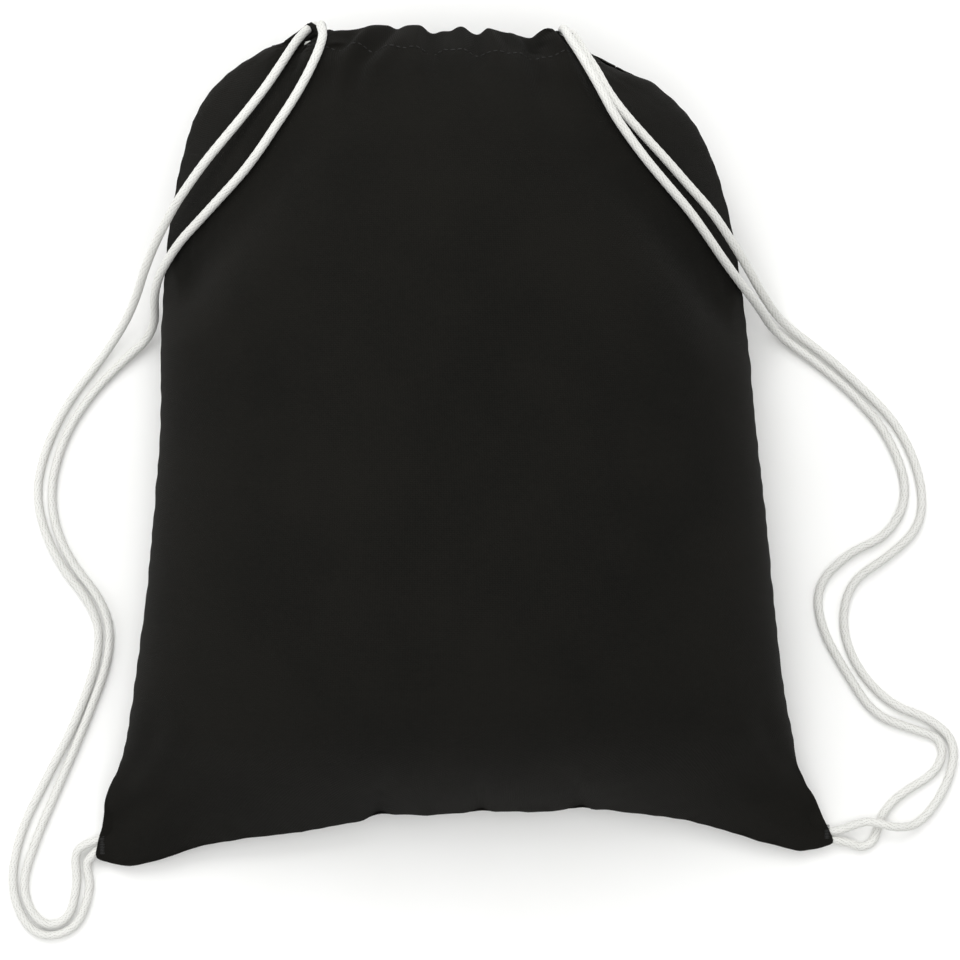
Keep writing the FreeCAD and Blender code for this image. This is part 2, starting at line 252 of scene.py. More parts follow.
strandStarts = {         # the ends of the channels
    "left_inner": (-63.4, 190.19, 47.78),
    "left_outer": (-63.4, 190.19, 36.22),
    "right_inner": (43.4, 185.58, 48.72),
    "right_outer": (43.4, 185.58, 35.28),
}
strandLines = []
for route in strandRoutes.values():
    line = smoothLine([Vector(p) * mm for p in route])
    length = sum((b - a).length for a, b in zip(line, line[1:]))
    strandLines.append(spreadAlong(line, int(length / (cord["ring"] * mm)) + 1))


def makeStrands(runEnds, material):
    # each strand starts inside its channel, where the run ends
    for name, route in strandRoutes.items():
        start = runEnds[name].lerp(Vector(strandStarts[name]) * mm, cord["startShift"])
        line = smoothLine([start] + [Vector(p) * mm for p in route])
        side, layer = name.split("_")
        piece, length, path = braid(side.title() + layer.title() + "Strand", line, material)
        followLip(piece)
        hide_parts(name + "_strand")
        print(piece.name, "is", round(length * 1000), "mm long")


cordCotton = cordMaterial()

bag = dict(
    flatWidth=342,       # one panel between its seams, laid flat
    flatLength=430,      # from the bottom seam to the lip of the mouth
    backShare=0.93,      # how much of that the flat back takes up
    columns=84,
    rows=108,
    cloth=0.7,           # thickness
    hemWidth=27,
    channel=9,           # how far the hem's two layers stand apart around the cords
    pressure=3.5,
    frames=24,
    cap=9,               # how far the simulation may move a point
    colour="#0b0b09",
    highlight="#151411",
    sheen=0.02,
    thread="#0b0b0a",
    yarn=0.9,            # real yarns lie 0.45 apart: drawn twice as coarse so that they show
)

# Points of the bag's outline, in mm: x, y and the height of the seam.
leftSeam = [
    (-176, -197, 4), (-171.6, -173, 13), (-166.2, -158.4, 20), (-159.2, -143.9, 24),
    (-155.3, -115.2, 30), (-148.7, -72.8, 35), (-144.7, -30.6, 37), (-141, 11.4, 38),
    (-141.8, 53.4, 39), (-138.9, 95.4, 40), (-134.2, 123.4, 40), (-130.5, 137.4, 40.5),
    (-126.7, 151.4, 41), (-118.8, 165.4, 41), (-104.4, 178, 42), (-85.7, 187, 42), (-66, 189.5, 42)]
rightSeam = [
    (175.7, -189.4, 4), (169.9, -173.1, 12), (158.9, -158.4, 20), (155.2, -143.9, 24),
    (149.5, -115.2, 30), (144.4, -72.8, 35), (140.4, -30.6, 37), (135.2, 11.4, 38),
    (131.9, 53.4, 39), (126.2, 95.4, 40), (119.2, 123.4, 40), (113.6, 137.4, 40.5),
    (106.6, 151.4, 41), (91.1, 166.3, 41), (72.4, 175.1, 42), (61.7, 181.7, 42), (46, 188.5, 42)]
bottomSeam = [
    (-176, -197, 4), (-169.4, -199, 5), (-159.6, -200.1, 7), (-145.2, -196.1, 11),
    (-125.8, -188.6, 15), (-106.5, -184.8, 18.5), (-77.8, -181.4, 22), (-49.3, -176.3, 24.5),
    (-39.9, -172.8, 25), (-16.3, -174.3, 26), (7.2, -172.4, 26), (35.4, -173.9, 25.5),
    (54.3, -171.8, 24.5), (82.7, -175.7, 22), (101.8, -178.3, 19), (121, -183.5, 15.5),
    (140.3, -189.6, 11.5), (159.7, -194.3, 7.5), (169.4, -192.2, 5), (175.7, -189.4, 4)]
# The middle of each panel from the bottom seam to the lip: y and height.
frontMiddle = [
    (-174, 26), (-165, 45), (-150, 72), (-128, 95), (-100, 108), (-60, 114), (0, 115.5),
    (60, 114), (105, 110), (140, 101), (165, 90), (182, 76), (193.5, 58)]
backMiddle = [
    (-174, 26), (-168, 16), (-155, 8), (-135, 2.5), (-110, 0.9), (-60, 0.7), (0, 0.7), (60, 0.7),
    (110, 0.7), (150, 1.5), (166, 5), (177, 13), (184, 23), (188.5, 31)]

# The front lip seen from above: x and y.
frontLip = [
    (-72, 189), (-66, 190.5), (-62.4, 192.8), (-58.3, 190.8), (-44.7, 193.2), (-34.1, 194.1),
    (-30.7, 191.8), (-27.1, 193.8), (-19.4, 193.8), (-14.7, 189.4), (-11.3, 191.0), (-5.3, 191.0),
    (-4.1, 193.3), (0, 193.2), (3, 190.5), (6.5, 189.3), (10, 192.8), (20.1, 190.3), (30.7, 188.1),
    (33.5, 190.7), (37.7, 192.2), (43.7, 191.0), (46, 189.5), (52, 187)]
# Folds on the back, gathered at the mouth.
backFolds = [
    ([(-48, 196), (-58, 176), (-62, 150)], 3.0, 4.0),
    ([(-30, 196), (-34, 172), (-30, 140)], 3.4, 3.6),
    ([(-12, 196), (-12, 176), (-18, 150)], 2.6, 3.4),
    ([(8, 196), (8, 172), (14, 132)], 3.2, 3.8),
    ([(26, 196), (32, 176), (30, 152)], 2.6, 3.2),
    ([(38, 194), (50, 174), (58, 148)], 3.0, 4.2),
    ([(-172, -182), (-140, -166), (-112, -140)], 2.0, 6.0),
    ([(170, -180), (138, -164), (110, -138)], 2.0, 6.0),
]
# Folds drawn on the front: points in plan, depth and half width. A depth below 0 is a ridge.
frontFolds = [
    ([(-31, 196), (-40, 184), (-49, 173), (-52, 159), (-46, 136)], 5.0, 3.8),
    ([(-17, 196), (-15, 178), (-12, 160)], 2.8, 3.2),
    ([(6.5, 196), (6, 180), (10, 160)], 2.8, 3.2),
    ([(31, 196), (31, 180), (36, 160), (40, 146)], 3.0, 3.6),
    ([(39, 190), (46, 176), (52, 163), (59, 148)], -3.2, 2.6),
    ([(-53, 188), (-60, 172), (-64, 150)], 3.0, 4.0),
    ([(-5, 195), (-4, 186), (-3, 176)], 1.2, 2.2),
    ([(19, 195), (20, 186), (22, 172)], 1.4, 2.4),
    ([(62, 180), (71, 167), (80, 150)], 2.6, 8.0),
    ([(-39.9, -174), (-37, -160), (-32, -146)], 2.0, 3.0),
    ([(7.2, -174), (8, -160), (12, -148)], 1.8, 3.0),
    ([(54.3, -173), (52, -160), (46, -146)], 2.0, 3.0),
    ([(-170, -180), (-150, -168), (-128, -150)], 2.4, 5.0),
    ([(-160, -160), (-146, -140), (-136, -116)], 1.6, 5.0),
    ([(168, -178), (148, -166), (126, -148)], 2.4, 5.0),
    ([(156, -158), (142, -138), (132, -114)], 1.6, 5.0),
]


def pointAt(points, share):
    # point at a share of the length of a line of points
    reach = [0.0]
    for a, b in zip(points, points[1:]):
        reach.append(reach[-1] + (b - a).length)
    want = max(0.0, min(1.0, share)) * reach[-1]
    for i in range(len(points) - 1):
        if want <= reach[i + 1] or i == len(points) - 2:
            span = reach[i + 1] - reach[i]
            return points[i].lerp(points[i + 1], (want - reach[i]) / span if span else 0)


def easeIn(x):
    x = max(0.0, min(1.0, x))
    return x * x * (3 - 2 * x)


def blendValues(a, b, share):
    return a + (b - a) * share


def asLine(points):
    # points in mm, smoothed; a list of y and height alone lies at x = 0
    full = [Vector(p if len(p) == 3 else (0, p[0], p[1])) for p in points]
    return smoothLine([p * mm for p in full])


outline = dict(left=asLine(leftSeam), right=asLine(rightSeam),
               bottom=[Vector(p) * mm for p in bottomSeam],
               front=asLine(frontMiddle), back=asLine(backMiddle))


def panelPoint(u, v, front):
    # place in the filled bag of a point u (-1 to 1) across and v (0 to 1) up one panel
    left = pointAt(outline["left"], v)
    right = pointAt(outline["right"], v)
    middle = pointAt(outline["front" if front else "back"], v)
    gather = easeIn((v - 0.80) / 0.20)
    full = min(1.0, v / 0.16) * (1 - 0.35 * gather)
    across = blendValues(u, math.sin(u * math.pi / 2), full)
    power = blendValues(0.85, 0.5, gather) if front else blendValues(0.62, 0.45, gather)
    swell = max(0.0, math.cos(u * math.pi / 2)) ** power
    place = left.lerp(right, (across + 1) / 2)
    centre = left.lerp(right, 0.5)
    place.y += (middle.y - centre.y) * (1 - abs(u) ** 2.4)
    place.z += (middle.z - centre.z) * swell
    inHem = easeIn((v - 1 + bag["hemWidth"] / bag["flatLength"]) / 0.03)
    place.z += (8.5 if front else -8.5) * mm * inHem * (1 - swell)
    seam = pointAt(outline["bottom"], (across + 1) / 2)
    base = pointAt(outline["left"], 0).lerp(pointAt(outline["right"], 0), (across + 1) / 2)
    start = Vector((base.x, base.y + (outline["front"][0].y - base.y) * (1 - abs(u) ** 2.4),
                    base.z + (outline["front"][0].z - base.z) * swell))
    return place + (seam - start) * (1 - easeIn(v / 0.16)) ** 1.5


def flatPoint(u, v, front):
    # the same point with the cloth laid flat and taken in where the hem gathers it
    width = bag["flatWidth"] * blendValues(1, 0.42, easeIn((v - 0.72) / 0.28))
    share = 1 if front else bag["backShare"]
    return Vector((u * width / 2 * share, v * bag["flatLength"] * share, 0)) * mm


def makePanel(name, front):
    # a grid of cloth in the bag's shape, for a short cloth simulation to swell
    bm = bmesh.new()
    bmesh.ops.create_grid(bm, x_segments=bag["columns"], y_segments=bag["rows"], size=0.5)
    flow = bm.verts.layers.float_vector.new("flow")
    for v in bm.verts:
        u, up = v.co.x * 2, v.co.y + 0.5
        v[flow] = (u, up, 0)
        v.co = panelPoint(u, up, front)
    if not front:
        bmesh.ops.reverse_faces(bm, faces=bm.faces)
    mesh = bpy.data.meshes.new(name)
    bm.to_mesh(mesh)
    bm.free()
    return mesh


def swellPanel(mesh, front):
    # pressure from inside, with the seams and the lip held, then a cap on how far points may move
    start = [v.co.copy() for v in mesh.vertices]
    holder = bpy.data.objects.new("cloth", mesh.copy())
    bpy.context.scene.collection.objects.link(holder)
    holder.shape_key_add(name="Basis")
    flat = holder.shape_key_add(name="flat")
    flows = [Vector(d.vector) for d in mesh.attributes["flow"].data]
    for point, f in zip(flat.data, flows):
        point.co = flatPoint(f.x, f.y, front)
    held = holder.vertex_groups.new(name="held")
    edge = [i for i, f in enumerate(flows)
            if abs(f.x) > 0.999 or f.y < 0.001 or f.y > 1 - bag["hemWidth"] / bag["flatLength"]]
    held.add(edge, 1.0, "REPLACE")
    cloth = holder.modifiers.new("cloth", "CLOTH")
    cloth.settings.rest_shape_key = flat
    cloth.settings.vertex_group_mass = "held"
    cloth.settings.quality = 5
    cloth.settings.mass = 0.2
    cloth.settings.tension_stiffness = 20
    cloth.settings.compression_stiffness = 12
    cloth.settings.shear_stiffness = 6
    cloth.settings.bending_stiffness = 0.25
    cloth.settings.tension_damping = 12
    cloth.settings.compression_damping = 12
    cloth.settings.use_pressure = True
    cloth.settings.uniform_pressure_force = bag["pressure"]
    cloth.settings.effector_weights.gravity = 0
    cloth.point_cache.frame_end = bag["frames"]
    for frameNumber in range(1, bag["frames"] + 1):
        bpy.context.scene.frame_set(frameNumber)
    graph = bpy.context.evaluated_depsgraph_get()
    shaped = bpy.data.meshes.new_from_object(holder.evaluated_get(graph))
    cap = bag["cap"] * mm
    moved = 0
    for v, s, before in zip(mesh.vertices, shaped.vertices, start):
        step = s.co - before
        moved = max(moved, step.length)
        if step.length > cap * 0.5:
            step *= (cap * 0.5 + cap * 0.5 * math.tanh((step.length / cap - 0.5) * 2)) / step.length
        v.co = before + step
    bpy.data.objects.remove(holder)
    bpy.context.scene.frame_set(1)
    print(mesh.name, "swelled by up to", round(moved * 1000, 1), "mm")


def planDistance(point, path):
    # shortest way in plan from a point to a line of points, and the share of the line there
    best = 1e9
    where = 0.0
    reach = 0.0
    total = sum((b - a).length for a, b in zip(path, path[1:]))
    flat = Vector((point.x, point.y))
    for a, b in zip(path, path[1:]):
        step = Vector((b.x - a.x, b.y - a.y))
        share = max(0.0, min(1.0, (flat - a.xy).dot(step) / max(step.length_squared, 1e-12)))
        away = (a.xy + step * share - flat).length
        if away < best:
            best = away
            where = (reach + share * (b - a).length) / total
        reach += (b - a).length
    return best, where


def drawFolds(mesh, folds):
    # valleys and ridges pressed into the cloth along drawn lines, deepest a third of the way
    normals = [n.vector.copy() for n in mesh.vertex_normals]
    lines = [([Vector((x, y, 0)) * mm for x, y in path], depth * mm, width * mm)
             for path, depth, width in folds]
    for v, normal in zip(mesh.vertices, normals):
        push = 0.0
        for path, depth, width in lines:
            away, where = planDistance(v.co, path)
            if away > 4 * width:
                continue
            along = easeIn((1 - where) / 0.55) * easeIn((where + 0.35) / 0.4)
            valley = math.exp(-(away / width) ** 2)
            shoulder = math.exp(-((away - 2.1 * width) / width) ** 2)
            push += depth * along * (0.38 * shoulder - valley)
        v.co += normal * push


def ruffle(mesh, seed, height):
    # small gathers that start at the hem and die out down the panel
    normals = [n.vector.copy() for n in mesh.vertex_normals]
    flows = mesh.attributes["flow"].data
    for v, normal, flow in zip(mesh.vertices, normals, flows):
        u, up, spare = flow.vector
        strength = easeIn((up - 0.80) / 0.16) * (1 - abs(u) ** 6)
        if strength < 0.01:
            continue
        wander = noise.noise(Vector((u * 3.1, up * 2.0, seed)))
        wave = math.sin(2 * math.pi * (6.5 * u + 1.6 * wander))
        wave += 0.5 * math.sin(2 * math.pi * (11.3 * u + 2.0 * wander) + seed)
        uneven = 0.6 + 0.4 * noise.noise(Vector((u * 5, seed, 0)))
        v.co += normal * (height * mm * strength * wave * uneven)


def valueAt(table, x):
    # y of a list of (x, y) at x
    for (x0, y0), (x1, y1) in zip(table, table[1:]):
        if x <= x1:
            return blendValues(y0, y1, max(0.0, (x - x0) / (x1 - x0)))
    return table[-1][1]


def drawLip(mesh):
    # the lip follows its drawn outline, and the hem below it goes along
    flows = mesh.attributes["flow"].data
    lipPlace = {round(f.vector[0] * 1000): v.co.copy() for v, f in zip(mesh.vertices, flows)
                if f.vector[1] > 0.9999}
    for v, flow in zip(mesh.vertices, flows):
        u, up, spare = flow.vector
        share = easeIn((up - 0.91) / 0.09)
        if share > 0:
            place = lipPlace[round(u * 1000)]
            v.co.y += share * (valueAt(frontLip, place.x / mm) * mm - place.y) * (1 - abs(u) ** 10)


def curlEnds(mesh):
    # the corners of the hem stand up a little beside the cords
    flows = mesh.attributes["flow"].data
    for v, flow in zip(mesh.vertices, flows):
        u, up, spare = flow.vector
        share = easeIn((abs(u) - 0.90) / 0.09) * easeIn((up - 0.965) / 0.035)
        v.co += Vector((math.copysign(1.2, u), 2.0, 0 if u < 0 else 4.0)) * mm * share


def pucker(mesh):
    # the seams' thread draws the cloth in: short gathers at right angles to each seam
    normals = [n.vector.copy() for n in mesh.vertex_normals]
    flows = mesh.attributes["flow"].data
    for v, normal, flow in zip(mesh.vertices, normals, flows):
        u, up, spare = flow.vector
        side = (1 - abs(u)) * bag["flatWidth"] / 2
        bottom = up * bag["flatLength"]
        along = up * bag["flatLength"] if side < bottom else u * bag["flatWidth"] / 2
        near = min(side, bottom)
        if near > 26:
            continue
        wander = noise.noise(Vector((along * 0.05, u * 2, 4.0)))
        wave = math.sin(along * 2 * math.pi / 9.5 + 5 * wander)
        v.co += normal * (0.5 * mm * wave * math.exp(-((near - 4) / 9) ** 2))


def restUnderCords(mesh):
    # the cloth is no higher than the CAD cloth where the cords lie, and gives way under them
    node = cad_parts["front_panel"]
    tree = BVHTree.FromPolygons([v.co for v in node.data.vertices],
                                [p.vertices for p in node.data.polygons])
    lying = [p for line in strandLines for p in line[::8]
             if p.z > 0.046 and p.y > 0.05 and (p.x < -0.072 or p.y < 0.184 or p.z > 0.058)]
    finder = KDTree(len(lying))
    for i, p in enumerate(lying):
        finder.insert((p.x, p.y, 0), i)
    finder.balance()
    flows = mesh.attributes["flow"].data
    for v in mesh.vertices:
        spot, i, away = finder.find((v.co.x, v.co.y, 0))
        belowHem = 1 - easeIn((flows[v.index].vector[1] - 0.89) / 0.04)
        if away > 0.045:
            continue
        hit = tree.ray_cast(Vector((v.co.x, v.co.y, 0.3)), Vector((0, 0, -1)))
        if hit[0] is not None and hit[1].z > 0.2:
            near = belowHem * (1 - easeIn((away - 0.010) / 0.035)) * easeIn((hit[1].z - 0.2) / 0.3)
            v.co.z += (hit[0].z - v.co.z) * near
        under = lying[i].z - (cord["diameter"] / 2 + cord["sunk"]) * mm + max(0, away - 0.004) * 0.6
        if v.co.z > under:
            v.co.z -= (v.co.z - under) * (1 - easeIn((away - 0.012) / 0.016))


def coverCordEnds(mesh):
    # in the bottom corners the front cloth lies over the ends of the cords
    clear = (cord["diameter"] / 2 + bag["cloth"] + cord["clear"]) * mm
    tips = [p for line in strandLines for p in line[-16::3]]       # their last 8 mm
    for v in mesh.vertices:
        for p in tips:
            away = (v.co.xy - p.xy).length
            if away < 6 * mm:
                v.co.z = max(v.co.z, p.z + clear - max(0, away - 2 * mm) * 0.8)


def clearCords(mesh):
    # cloth beside a free cord gives way to it
    beside = [p for line in strandLines for p in line[8:] if p.y > 0.13]
    finder = KDTree(len(beside))
    for i, p in enumerate(beside):
        finder.insert(p, i)
    finder.balance()
    clear = (cord["diameter"] / 2 + bag["cloth"] + cord["clear"]) * mm
    for v in mesh.vertices:
        spot, i, away = finder.find(v.co)
        if away < clear:
            v.co += (v.co - spot).normalized() * (clear - away)


def clothUv(mesh):
    # the weave follows the cloth: UVs are places on the flat cloth, in metres
    layer = mesh.uv_layers.new(name="cloth")
    flows = mesh.attributes["flow"].data
    for loop in mesh.loops:
        u, up, spare = flows[loop.vertex_index].vector
        layer.data[loop.index].uv = (u * bag["flatWidth"] / 2 * mm, up * bag["flatLength"] * mm)


def clothMaterial():
    # Plain-weave cotton sheeting, dyed black: matte, each yarn a little apart in shade, with a
    # grey nap that shows where the light grazes it. Real yarns are 0.45 mm apart; they are drawn
    # twice as coarse so that they show.
    material = bpy.data.materials.new("blackCottonSheeting")
    material.use_nodes = True
    links = material.node_tree.links
    shader = material.node_tree.nodes["Principled BSDF"]
    shader.inputs["Roughness"].default_value = 0.92
    shader.inputs["Specular IOR Level"].default_value = 0.12
    shader.inputs["Sheen Weight"].default_value = bag["sheen"]
    shader.inputs["Sheen Roughness"].default_value = 0.45
    shader.inputs["Sheen Tint"].default_value = linearColour("#8b8984")
    place = addNode(material, "ShaderNodeTexCoord")
    sway = addNode(material, "ShaderNodeTexNoise", {"Scale": 60, "Detail": 2},
                   {"Vector": place.outputs["UV"]})
    drift = addNode(material, "ShaderNodeVectorMath", {1: (0.0006, 0.0006, 0)},
                    {0: sway.outputs["Color"]}, operation="MULTIPLY")
    thread = addNode(material, "ShaderNodeVectorMath", {},
                     {0: place.outputs["UV"], 1: drift.outputs["Vector"]})
    waveScale = 0.31416 / (bag["yarn"] * mm)
    warp = addNode(material, "ShaderNodeTexWave", {"Scale": waveScale, "Distortion": 0.6},
                   {"Vector": thread.outputs["Vector"]}, bands_direction="X")
    weft = addNode(material, "ShaderNodeTexWave", {"Scale": waveScale, "Distortion": 0.6},
                   {"Vector": thread.outputs["Vector"]}, bands_direction="Y")
    over = addNode(material, "ShaderNodeTexChecker", {"Scale": 1 / (bag["yarn"] * mm)},
                   {"Vector": thread.outputs["Vector"]})
    weave = addNode(material, "ShaderNodeMix", {},
                    {"Factor": over.outputs["Fac"], "A": warp.outputs["Fac"],
                     "B": weft.outputs["Fac"]})
    slub = addNode(material, "ShaderNodeTexNoise", {"Scale": 420, "Detail": 3},
                   {"Vector": place.outputs["UV"]})          # thick and thin places in the yarn
    shade = addNode(material, "ShaderNodeTexNoise", {"Scale": 14, "Detail": 5, "Roughness": 0.6},
                    {"Vector": place.outputs["Object"]})     # uneven dye over a hand's width
    tone = addNode(material, "ShaderNodeMath", {1: 0.35}, {0: slub.outputs["Fac"]},
                   operation="MULTIPLY")
    tone = addNode(material, "ShaderNodeMath", {}, {0: tone.outputs[0], 1: shade.outputs["Fac"]})
    yarnTone = addNode(material, "ShaderNodeMath", {1: 0.3}, {0: weave.outputs[0]},
                       operation="MULTIPLY")
    tone = addNode(material, "ShaderNodeMath", {}, {0: tone.outputs[0], 1: yarnTone.outputs[0]})
    ramp = addNode(material, "ShaderNodeValToRGB", links={"Fac": tone.outputs[0]})
    ramp.color_ramp.elements[0].position = 0.45
    ramp.color_ramp.elements[0].color = linearColour(bag["colour"])
    ramp.color_ramp.elements[1].position = 1.0
    ramp.color_ramp.elements[1].color = linearColour(bag["highlight"])
    links.new(ramp.outputs["Color"], shader.inputs["Base Color"])
    height = addNode(material, "ShaderNodeMath", {1: 0.5}, {0: slub.outputs["Fac"]},
                     operation="MULTIPLY")
    height = addNode(material, "ShaderNodeMath", {}, {0: height.outputs[0], 1: weave.outputs[0]})
    bump = addNode(material, "ShaderNodeBump", {"Strength": 0.5, "Distance": 0.00025},
                   {"Height": height.outputs[0]})
    links.new(bump.outputs["Normal"], shader.inputs["Normal"])
    return material


def addPiece(name, mesh, material, slotName, *nodes, thickness=0.0, offset=-1, smooth=0):
    # one finished piece: its modifiers, its material and the CAD nodes it stands for, which it hides
    for face in mesh.polygons:
        face.use_smooth = True
    mesh.materials.clear()
    mesh.materials.append(material)
    piece = bpy.data.objects.new(name, mesh)
    bpy.context.scene.collection.objects.link(piece)
    if smooth:
        subdivision = piece.modifiers.new("smooth", "SUBSURF")
        subdivision.levels = smooth
        subdivision.render_levels = smooth
    if thickness:
        wall = piece.modifiers.new("thickness", "SOLIDIFY")
        wall.thickness = thickness * mm
        wall.offset = offset
    if smooth or thickness:
        graph = bpy.context.evaluated_depsgraph_get()
        shaped = bpy.data.meshes.new_from_object(piece.evaluated_get(graph))
        piece.modifiers.clear()
        piece.data = shaped
        shaped.set_sharp_from_angle(angle=math.radians(60))     # the cut edges stay crisp
    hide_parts(*nodes)
    followLip(piece)
    return piece


def takeRows(mesh, keep):
    # a copy of the mesh with only the faces for which keep(height up the panel) holds
    bm = bmesh.new()
    bm.from_mesh(mesh)
    flow = bm.verts.layers.float_vector["flow"]
    away = [f for f in bm.faces if not keep(sum(v[flow].y for v in f.verts) / len(f.verts))]
    bmesh.ops.delete(bm, geom=away, context="FACES")
    made = bpy.data.meshes.new("rows")
    bm.to_mesh(made)
    bm.free()
    return made


def makeHem(mesh, front):
    # the cloth above the stitch line turns in at the lip and comes back down inside
    bm = bmesh.new()
    bm.from_mesh(mesh)
    bm.normal_update()
    flow = bm.verts.layers.float_vector["flow"]
    edges = [e for e in bm.edges if e.is_boundary and all(v[flow].y > 0.9999 for v in e.verts)]
    outer = {}
    for v in bm.verts:
        key = (round(v[flow].x * 1000), round(v[flow].y * bag["rows"]))
        outer[key] = (v.co.copy(), v.normal.copy())
    rowsDown = sorted({key[1] for key in outer}, reverse=True)
    for k, row in enumerate(rowsDown):
        share = k / (len(rowsDown) - 1)
        apart = bag["channel"] * mm * min(1, (share + 0.02) / 0.2) ** 0.5 * (1 - 0.86 * share ** 3)
        grown = bmesh.ops.extrude_edge_only(bm, edges=edges)["geom"]
        edges = [g for g in grown if isinstance(g, bmesh.types.BMEdge)
                 and g.is_boundary and all(v in grown for v in g.verts)]
        fresh = {v for v in grown if isinstance(v, bmesh.types.BMVert)}
        edges = [e for e in edges if e.verts[0] in fresh and e.verts[1] in fresh]
        for v in fresh:
            place, normal = outer[(round(v[flow].x * 1000), row)]
            v.co = place - normal * apart
            v[flow] = (v[flow].x, 1 + share * bag["hemWidth"] / bag["flatLength"], 0)
    bmesh.ops.recalc_face_normals(bm, faces=bm.faces)
    bm.normal_update()
    facing = sum(f.normal.z for f in bm.faces if all(v[flow].y < 1 for v in f.verts))
    if (facing > 0) != front:      # the outer layer of the front faces up, that of the back down
        bmesh.ops.reverse_faces(bm, faces=bm.faces)
    bm.to_mesh(mesh)
    bm.free()


blackCotton = clothMaterial()
stitchRow = 1 - bag["hemWidth"] / bag["flatLength"]
cloths = {}
for front in (True, False):
    mesh = makePanel("front" if front else "back", front)
    swellPanel(mesh, front)
    if front:
        restUnderCords(mesh)
        drawFolds(mesh, frontFolds)
    else:
        drawFolds(mesh, backFolds)
    pucker(mesh)
    ruffle(mesh, 1.0 if front else 7.0, 0.35 if front else 0.5)
    if front:
        drawLip(mesh)
        curlEnds(mesh)
        coverCordEnds(mesh)
    clearCords(mesh)
    for v in mesh.vertices:
        v.co.z = max(v.co.z, 0.4 * mm)
    cloths[front] = mesh
for front, mesh in cloths.items():
    word = "Front" if front else "Back"
    node = word.lower()
    panelMesh = takeRows(mesh, lambda y: y < stitchRow)
    clothUv(panelMesh)
    panel = addPiece(word + "Panel", panelMesh, blackCotton, "black_cotton", node + "_panel",
                     thickness=bag["cloth"], smooth=1)
    hemMesh = takeRows(mesh, lambda y: y > stitchRow)
    makeHem(hemMesh, front)
    clothUv(hemMesh)
    hem = addPiece(word + "Hem", hemMesh, blackCotton, "black_cotton", node + "_hem",
                   thickness=bag["cloth"], smooth=1)
print("bag cloth is shaped")


runs = dict(
    left=(0.25, 1),      # how far down the channel from the lip, and which way the cord turns back
    right=(0.55, -1),
    reach=0.84,          # of the channel's half length
    depth=5.0,           # below the outer layer
)


def hemLine(front, share):
    # the middle of the channel, a share of the way from the lip to the stitches
    mesh = cloths[front]
    flows = mesh.attributes["flow"].data
    row = round(bag["rows"] * (1 - share * (1 - stitchRow))) / bag["rows"]
    picked = sorted((f.vector[0], v.index) for v, f in zip(mesh.vertices, flows)
                    if abs(f.vector[1] - row) < 0.001 and abs(f.vector[0]) <= runs["reach"])
    normals = mesh.vertex_normals
    line = [mesh.vertices[i].co - normals[i].vector * runs["depth"] * mm for u, i in picked]
    for turn in range(5):
        inner = [(p + q + r) / 3 for p, q, r in zip(line, line[1:], line[2:])]
        line = [line[0]] + inner + [line[-1]]
    return line


def makeRuns():
    # each cord's two runs through the hem and the half turn that joins them
    ends = {}
    runEnds = {}
    for side in ("left", "right"):
        share, towards = runs[side]
        for front in (True, False):
            line = hemLine(front, share)
            layer = "front" if front else "back"
            name = side.title() + "Cord" + layer.title() + "Run"
            piece, length, path = braid(name, line, cordCotton)
            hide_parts(side + "_cord_" + layer + "_run")
            followLip(piece)
            ends[layer] = path[-1] if towards > 0 else path[0]
            strand = side + ("_inner" if front else "_outer")
            runEnds[strand] = path[0] if towards > 0 else path[-1]
        bulge = (ends["front"] + ends["back"]) / 2 + Vector((towards * 7 * mm, 0, 0))
        upper = ends["front"].lerp(bulge, 0.6) + Vector((towards, 0, 1.5)) * mm
        lower = ends["back"].lerp(bulge, 0.6) + Vector((towards, 0, -1.5)) * mm
        line = smoothLine([ends["front"], upper, bulge, lower, ends["back"]])
        piece, length, path = braid(side.title() + "CordBight", line, cordCotton)
        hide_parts(side + "_cord_bight")
        followLip(piece)
    return runEnds


makeStrands(makeRuns(), cordCotton)
print("cords run through the hem and are laid")


stitch = dict(
    length=2.3,
    width=0.55,
    height=0.4,
    pitch=3.1,
    tackPitch=0.75,      # the same for the bartacks
    tackCount=12,
    tackLength=3.0,
    tackInset=3.4,       # from the corner of the bag, across
    tackStart=2.5,       # and along
)


def threadMaterial():
    # Spun polyester sewing thread: black with a slight sheen, twisted plies across each stitch.
    material = bpy.data.materials.new("spunSewingThread")
    material.use_nodes = True
    shader = material.node_tree.nodes["Principled BSDF"]
    shader.inputs["Base Color"].default_value = linearColour(bag["thread"])
    shader.inputs["Roughness"].default_value = 0.55
    place = addNode(material, "ShaderNodeTexCoord")
    ply = addNode(material, "ShaderNodeTexWave", {"Scale": 900, "Distortion": 2},
                  {"Vector": place.outputs["Object"]}, bands_direction="DIAGONAL")
    bump = addNode(material, "ShaderNodeBump", {"Strength": 0.5, "Distance": 0.0001},
                   {"Height": ply.outputs["Fac"]})
    material.node_tree.links.new(bump.outputs["Normal"], shader.inputs["Normal"])
    return material


def addStitch(bm, centre, along, up, length):
    # one stitch: a small bead lying along the cloth
    across = up.cross(along).normalized()
    grown = bmesh.ops.create_uvsphere(bm, u_segments=6, v_segments=5, radius=0.5)["verts"]
    for v in grown:
        v.co = (centre + along * v.co.x * length * mm + across * v.co.y * stitch["width"] * mm
                + up * v.co.z * stitch["height"] * mm)


